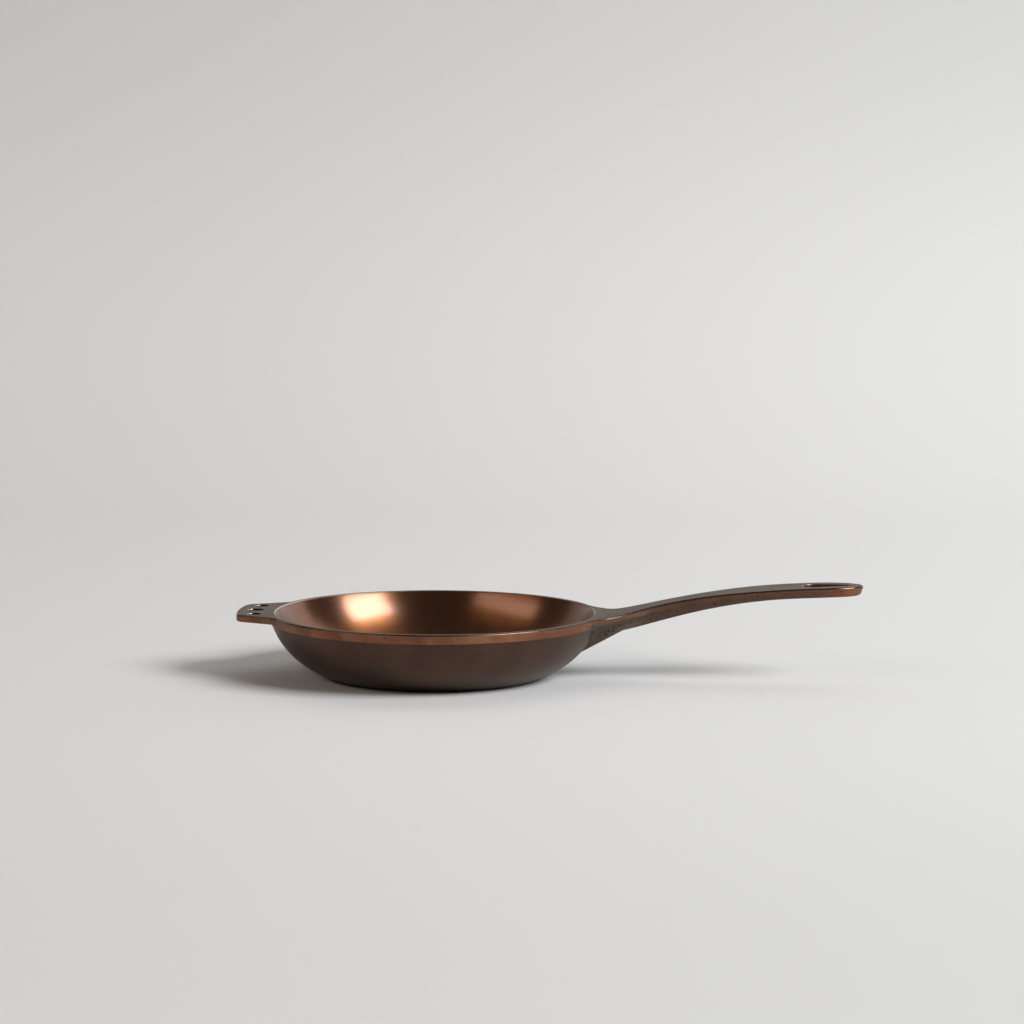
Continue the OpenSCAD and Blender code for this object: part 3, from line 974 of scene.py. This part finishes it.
def make_handle_skin(name):
    """The rim, tab and handle: tops painted lighter and greyer for the sky light they catch, redder sides,
    and copper where they are worn.
    """
    look = Look(name, Specular_IOR_Level=0.4)
    below = look.attribute("below")
    up = look.facing("Z")
    x = look.axis("X")
    grain = look.noise(0.5 * MM, 4.0, 0.65)
    coarse = look.noise(2.6 * MM, 4.0, 0.6)
    cloud = look.noise(26 * MM, 3.0)
    # Painted sheen: the top faces are painted lighter and greyer than the sides, standing in for the sky
    # light that they catch
    top = look.mottled(cloud, TOP_DARK, TOP_LIGHT)
    root = look.mottled(cloud, ROOT_DARK, ROOT_LIGHT)
    grip = look.mottled(cloud, GRIP_DARK, GRIP_LIGHT)
    side = look.blend(look.range(x, *GRIP_STARTS), root, grip)
    side = look.blend(look.range(below, *SIDE_DARKENS, 0.0, 0.6), side, SIDE_LOW)
    shoulder = look.times(look.range(x, *SHOULDER_STARTS), look.range(x, *SHOULDER_ENDS, 1.0, 0.0),
                          look.range(below, *SHOULDER_FOOT, 0.8, 0.0))
    side = look.blend(shoulder, side, SHOULDER)
    tone = look.blend(look.range(up, 0.3, 0.97), side, top)
    # Copper shows under the edge: all down the band, thin on the neck, and faded along the handle
    reach = look.plus(look.range(x, *COPPER_NARROWS, COPPER_BAND_H, COPPER_NECK_H),
                      look.range(x, *COPPER_WIDENS, 0.0, COPPER_GAIN_H))
    ragged = look.plus(below, look.times(look.minus(coarse, 0.5), COPPER_RAGGED_H))
    ragged = look.minus(ragged, reach)
    tab_end = look.times(look.range(x, *BESIDE_TAB_STARTS), look.range(x, *BESIDE_TAB_ENDS, 1.0, 0.0))
    worn = look.times(look.range(below, *COPPER_UPPER_EDGE), look.range(ragged, *COPPER_LOWER_EDGE, 1.0, 0.0),
                      look.range(x, *COPPER_FADES, 1.0, COPPER_REST_SHARE),
                      look.minus(1.0, look.times(tab_end, 0.65)))
    worn = look.larger(worn, look.range(x, *COPPER_TIP_STARTS, 0.0, 0.9))
    worn = look.times(worn, look.range(coarse, 0.25, 0.6, 0.75, 1.0), look.range(up, 0.4, 0.9, 1.0, 0.0))
    tone = look.blend(worn, tone, look.blend(look.range(cloud, 0.35, 0.65), COPPER_DARK, COPPER_LIGHT))
    bare = look.minus(1.0, look.times(worn, 0.7))
    tone = look.blend(look.times(look.range(grain, 0.5, 0.8, 0.0, 0.45), bare), tone, GRAIN_LIGHT)
    tone = look.blend(look.range(coarse, 0.52, 0.75, 0.0, 0.5), tone, GRAIN_DARK)
    # The rounding between the top face and the side is dark and smooth
    edge = look.times(look.range(up, 0.05, 0.2), look.range(up, 0.93, 0.985, 1.0, 0.0),
                      look.range(below, *EDGE_ENDS, 1.0, 0.0))
    tone = look.blend(look.times(edge, 0.85), tone, EDGE_TONE)
    pit = look.larger(pits(look, 4.2 * MM, 0.16), pits(look, 1.7 * MM, 0.24))
    # Dents in the neck, and scars on its top face
    dent = look.times(look.range(look.noise(3.5 * MM, 2.0), 0.57, 0.66), look.range(x, *DENTS_END, 1.0, 0.0),
                      look.range(x, *DENTS_START), 0.8)
    scar = look.times(look.range(look.noise(6 * MM, 4.0, 0.6), 0.56, 0.66), look.range(up, 0.9, 0.97),
                      look.range(x, *SCARS_END, 0.6, 0.0), look.range(x, *SCARS_START))
    pit = look.times(look.larger(look.larger(pit, dent), scar), look.minus(1.0, worn))
    tone = look.blend(look.times(pit, 0.7), tone, PIT)
    look.set("Base Color", tone)
    look.set("Metallic", look.plus(0.3, look.larger(look.times(worn, 0.5), look.times(edge, 0.7))))
    rough = look.minus(look.range(grain, 0.3, 0.7, 0.56, 0.68), look.times(worn, 0.16))
    look.set("Roughness", look.minus(rough, look.times(edge, 0.34)))
    height = look.plus(look.times(grain, 0.45), look.times(coarse, 0.5))
    height = look.minus(height, look.times(pit, 0.9))
    fine = look.minus(1.0, look.times(look.larger(worn, edge), 0.6))
    look.set("Normal", look.bump(look.times(height, fine), 0.14 * MM, 0.9))
    return look.material


def make_rubbed_edge_and_glint():
    """The thin lip of the inside, with a painted glint beside the tab, and the roundings of the holes.

    The roundings of the tab's holes are painted dark as shade, but for their outer ends, which face the lamp
    on the right and get a painted glint.
    """
    look = Look("rubbed_edge_and_glint", Metallic=1.0)
    grain = look.noise(0.6 * MM, 3.0)
    x = look.axis("X")
    # Painted glint: the lip beside the tab and the outer ends of the tab's holes are painted bright where
    # they face the lamp on the right; the tab's other hole roundings are painted dark as shade
    tab = look.range(x, *TAB_ENDS, 1.0, 0.0)
    lip = look.times(look.range(x, *TAB_ENDS), look.range(x, *LIP_GLINT_ENDS, 1.0, 0.0))
    hole_glint = look.times(tab, look.range(look.facing("X"), 0.4, 0.65))
    tone = look.mottled(grain, RUBBED_DARK, RUBBED_LIGHT)
    tone = look.blend(tab, tone, HOLE_LIGHT)
    look.set("Base Color", look.blend(look.larger(lip, hole_glint), tone, LIP_AND_HOLE_GLINT))
    look.set("Roughness", look.range(grain, 0.3, 0.7, 0.24, 0.36))
    look.set("Normal", look.bump(grain, 0.02 * MM, 0.5))
    return look.material


def make_hole_wall():
    """Walls of the holes, painted dark brown as the shade inside them."""
    look = Look("hole_wall", Metallic=0.3, Specular_IOR_Level=0.4)
    grain = look.noise(0.8 * MM, 4.0, 0.6)
    cloud = look.noise(6 * MM, 2.0)
    tone = look.mottled(cloud, HOLE_DARK, HOLE_LIGHT)
    look.set("Base Color", look.blend(look.range(grain, 0.45, 0.75, 0.0, 0.5), tone, SIDE_LOW))
    look.set("Roughness", look.range(grain, 0.3, 0.7, 0.38, 0.5))
    look.set("Normal", look.bump(grain, 0.05 * MM, 0.7))
    return look.material


# Colours in linear light

TURNED_DARK = linear(131, 81, 48)
TURNED_LIGHT = linear(140, 88, 53)
TURNED_RING = linear(118, 71, 41)
CAST_DARK = linear(66, 45, 32)
CAST_LIGHT = linear(79, 56, 42)
CAST_GRAIN = linear(98, 72, 55)
TOP_DARK = linear(93, 80, 71)
TOP_LIGHT = linear(108, 94, 84)
ROOT_DARK = linear(101, 84, 74)
ROOT_LIGHT = linear(119, 101, 90)
GRIP_DARK = linear(79, 55, 42)
GRIP_LIGHT = linear(93, 66, 51)
SIDE_LOW = linear(66, 52, 45)
SHOULDER = linear(76, 60, 50)
COPPER_DARK = linear(124, 77, 53)
COPPER_LIGHT = linear(150, 99, 72)
EDGE_TONE = linear(98, 80, 70)
RUBBED_DARK = linear(124, 100, 86)
RUBBED_LIGHT = linear(156, 130, 113)
LIP_AND_HOLE_GLINT = linear(222, 204, 190)
HOLE_DARK = linear(46, 32, 26)
HOLE_LIGHT = linear(58, 41, 33)
GRAIN_LIGHT = linear(136, 118, 104)
GRAIN_DARK = linear(72, 56, 47)
PIT = linear(34, 25, 20)

# Stretches along X over which the looks change

GRIP_STARTS = (148 * MM, 188 * MM)
SHOULDER_STARTS = (112 * MM, 124 * MM)
SHOULDER_ENDS = (150 * MM, 168 * MM)
COPPER_NARROWS = (116 * MM, 129 * MM)
COPPER_WIDENS = (150 * MM, 176 * MM)
COPPER_FADES = (120 * MM, 176 * MM)
COPPER_TIP_STARTS = (300 * MM, 320 * MM)
BESIDE_TAB_STARTS = (-132 * MM, -127 * MM)
BESIDE_TAB_ENDS = (-123 * MM, -106 * MM)
DENTS_START = (126 * MM, 134 * MM)
DENTS_END = (150 * MM, 172 * MM)
SCARS_START = (120 * MM, 128 * MM)
SCARS_END = (150 * MM, 178 * MM)
TAB_ENDS = (-134 * MM, -130 * MM)
LIP_GLINT_ENDS = (-124 * MM, -100 * MM)

# Stretches of the depth below the top face, and heights of the copper

SIDE_DARKENS = (15 * MM, 26 * MM)
SHOULDER_FOOT = (5 * MM, 8 * MM)
EDGE_ENDS = (1.5 * MM, 2.1 * MM)
COPPER_UPPER_EDGE = (1.3 * MM, 1.9 * MM)
COPPER_LOWER_EDGE = (-0.6 * MM, 0.7 * MM)
COPPER_BAND_H = 8.2 * MM
COPPER_NECK_H = 3.6 * MM
COPPER_GAIN_H = 1 * MM
COPPER_RAGGED_H = 2 * MM
# Share of the copper that is left along the handle
COPPER_REST_SHARE = 0.25
# Where a pit's rim lies, as shares of its cell
PIT_RIM = (0.14, 0.32)

turned_bronze = make_turned_bronze()
cast_skin = make_cast_skin()
ground_band = make_handle_skin("ground_band")
handle_skin = make_handle_skin("handle_skin")
rubbed_edge_and_glint = make_rubbed_edge_and_glint()
hole_wall = make_hole_wall()

# Pieces

floor_turned = cooking_floor()
corner_cast = floor_corner()
wall_cast = side_wall()
rim_ground = rim_band()
tab_cast = helper_tab()
neck_cast, gusset_cast = handle_root()
grip_cast = handle_grip()
eye_cast = hanging_eye()
PIECES = [
    (floor_turned, "cooking_floor", "cooking_surface"),
    (corner_cast, "floor_corner", "cast_skin"),
    (wall_cast, "side_wall", "cast_skin"),
    (rim_ground, "rim_band", "rim_band"),
    (tab_cast, "helper_tab", "handle_skin"),
    (neck_cast, "handle_neck", "handle_skin"),
    (gusset_cast, "root_gusset", "cast_skin"),
    (grip_cast, "handle_grip", "handle_skin"),
    (eye_cast, "hanging_eye", "handle_skin"),
]
shade([piece for piece, _, _ in PIECES])
for piece, node, slot in PIECES:
    co = read(piece.data.vertices, "co")
    layer = piece.data.attributes.new("below", "FLOAT", "POINT")
    layer.data.foreach_set("value", (top_z(co[:, 0]) - co[:, 2]).astype(np.float32))
    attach(piece, "root")
    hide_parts(node)


# Stage: a floor that sweeps up into the backdrop

def make_stage():
    look = Look("studio_paper", Metallic=0.0, Specular_IOR_Level=0.0, Roughness=1.0)
    # Painted light and shade: the paper is painted lighter to the right, and darker toward the camera and up
    # the backdrop
    paper = look.blend(look.range(look.axis("X"), *PAPER_SIDES), PAPER_LEFT, PAPER_RIGHT)
    paper = look.blend(look.range(look.axis("Y"), *PAPER_FRONT, 0.3, 0.0), paper, PAPER_SHADE)
    look.set("Base Color", look.blend(look.range(look.axis("Z"), *PAPER_RISE, 0.0, 0.8), paper, PAPER_SHADE))
    front, back, side, high, bend = -9.0, 2.6, 4.5, 4.5, 1.4
    profile_line = [(front, 0, 2 * side), (0, 0, 2 * side)]
    profile_line += [(back - bend + bend * math.sin(a), bend - bend * math.cos(a), side)
                     for a in quarter(SWEEP_STEPS)]
    profile_line.append((back, high, side))
    mesh = bpy.data.meshes.new("studio_sweep")
    points = [(x, y, z) for y, z, w in profile_line for x in (-w, w)]
    faces = [(2 * i, 2 * i + 1, 2 * i + 3, 2 * i + 2) for i in range(len(profile_line) - 1)]
    mesh.from_pydata(points, [], faces)
    mesh.materials.append(look.material)
    mesh.polygons.foreach_set("use_smooth", [True] * len(mesh.polygons))
    obj = put("studio_sweep", mesh)


PAPER_LEFT = linear(230, 230, 229)
PAPER_RIGHT = linear(236, 236, 235)
PAPER_SHADE = linear(209, 209, 208)
# Where the paper's colour changes, in metres: across, toward the camera, and up
PAPER_SIDES = (-0.6, 0.6)
PAPER_FRONT = (-1.0, -0.2)
PAPER_RISE = (0.1, 0.8)
make_stage()

# Camera, at the photograph's place

CAMERA_AT = Vector((170.46, -2394.73, 383.59)) * MM
CAMERA_TURN = math.radians(2.6)
CAMERA_PITCH = math.radians(6)
CAMERA_ROLL = 0.0041
SENSOR_W = 36
IMAGE_PX = 1024
FOCAL_PX = 3024.55
# How far the picture's middle is shifted, across and up
SHIFT_PX = 0.5

forward = Vector((-math.sin(CAMERA_TURN) * math.cos(CAMERA_PITCH),
                  math.cos(CAMERA_TURN) * math.cos(CAMERA_PITCH),
                  -math.sin(CAMERA_PITCH)))
right = Vector((math.cos(CAMERA_TURN), math.sin(CAMERA_TURN), 0))
up = right.cross(forward)
rolled = right * math.cos(CAMERA_ROLL) + up * math.sin(CAMERA_ROLL)
up = up * math.cos(CAMERA_ROLL) - right * math.sin(CAMERA_ROLL)
camera_data = bpy.data.cameras.new("camera")
camera_data.sensor_width = SENSOR_W
camera_data.lens = FOCAL_PX / IMAGE_PX * SENSOR_W
camera_data.shift_x = -SHIFT_PX / IMAGE_PX
camera_data.shift_y = SHIFT_PX / IMAGE_PX
camera_data.clip_start = 0.05
camera_data.clip_end = 30
camera = put("camera", camera_data)
turn = Matrix((rolled, up, -forward)).transposed()
camera.matrix_world = Matrix.Translation(CAMERA_AT) @ turn.to_4x4()
bpy.context.scene.camera = camera


# Lights

def soft_box(name, azimuth, elevation, distance, width, height, power, colour):
    """A lamp seen from the pan at an azimuth, with 0 toward the camera and 90 to its right."""
    a = math.radians(azimuth) + math.atan2(CAMERA_AT.x, -CAMERA_AT.y)
    e = math.radians(elevation)
    out = Vector((math.sin(a) * math.cos(e), -math.cos(a) * math.cos(e), math.sin(e)))
    data = bpy.data.lights.new(name, "AREA")
    data.shape = "RECTANGLE"
    data.size = width
    data.size_y = height
    data.energy = power
    data.color = colour
    lamp = put(name, data)
    aim = out.to_track_quat("Z", "Y").to_matrix().to_4x4()
    lamp.matrix_world = Matrix.Translation(out * distance) @ aim


KEY_COLOUR = (0.985, 1.0, 1.03)
FILL_COLOUR = (1.0, 0.86, 0.74)
BACK_COLOUR = (1.0, 1.0, 1.0)
ROOM_COLOUR = linear(240, 233, 224)
ROOM_LIGHT = 0.095

soft_box("box_right", azimuth=60, elevation=35, distance=7.0, width=3.9, height=3.0, power=475,
         colour=KEY_COLOUR)
soft_box("box_left", azimuth=-62, elevation=32, distance=7.0, width=6.5, height=1.8, power=78,
         colour=FILL_COLOUR)
soft_box("box_back", azimuth=160, elevation=52, distance=3.6, width=3.8, height=2.6, power=17,
         colour=BACK_COLOUR)

world = bpy.data.worlds.new("studio")
bpy.context.scene.world = world
world.use_nodes = True
room = world.node_tree.nodes["Background"]
room.inputs["Color"].default_value = ROOM_COLOUR
room.inputs["Strength"].default_value = ROOM_LIGHT

bpy.context.scene.view_settings.view_transform = "Standard"
